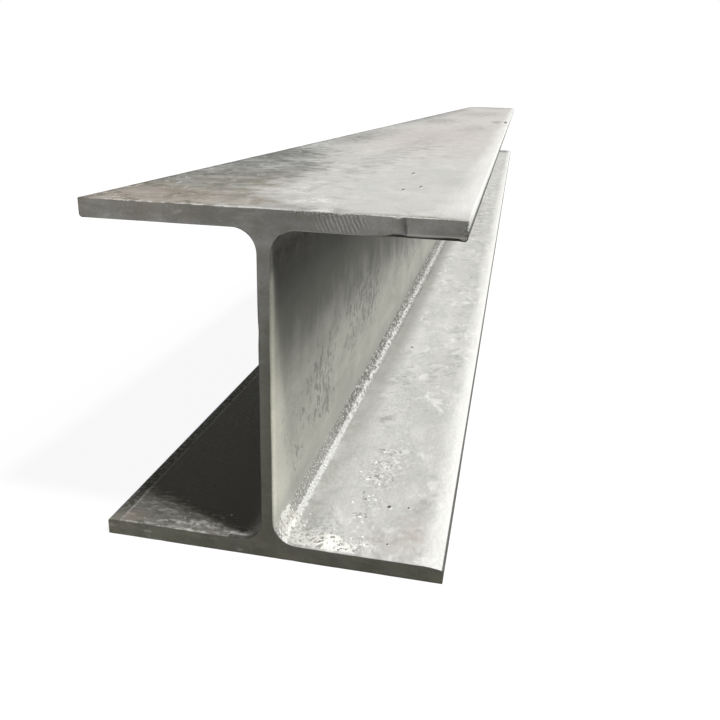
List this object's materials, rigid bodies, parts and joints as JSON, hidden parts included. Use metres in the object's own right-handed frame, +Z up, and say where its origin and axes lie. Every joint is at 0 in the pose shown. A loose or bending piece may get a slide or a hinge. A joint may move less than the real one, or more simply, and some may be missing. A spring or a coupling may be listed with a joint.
{
  "type": "steel h-beam",
  "caption": "Hot-rolled wide-flange steel H-beam with parallel flanges, a thin central web and rounded roots, sawn square at its ends, for use as a column or beam.",
  "frame": {"origin": "middle of the lower flange's underside, halfway along the beam", "axes": "+Y along the beam, away from the end nearest the picture's camera; +X across the flanges, to the picture's right; +Z up from the lower flange to the upper one"},
  "size_m": [0.25, 4, 0.25],
  "materials": {
    "mill_steel": "as rolled: matt grey mill skin with light rust tint, loose scale in the roots and sawn ends"
  },
  "bodies": {
    "root": {"h_beam": "mill_steel"}
  },
  "joints": []
}
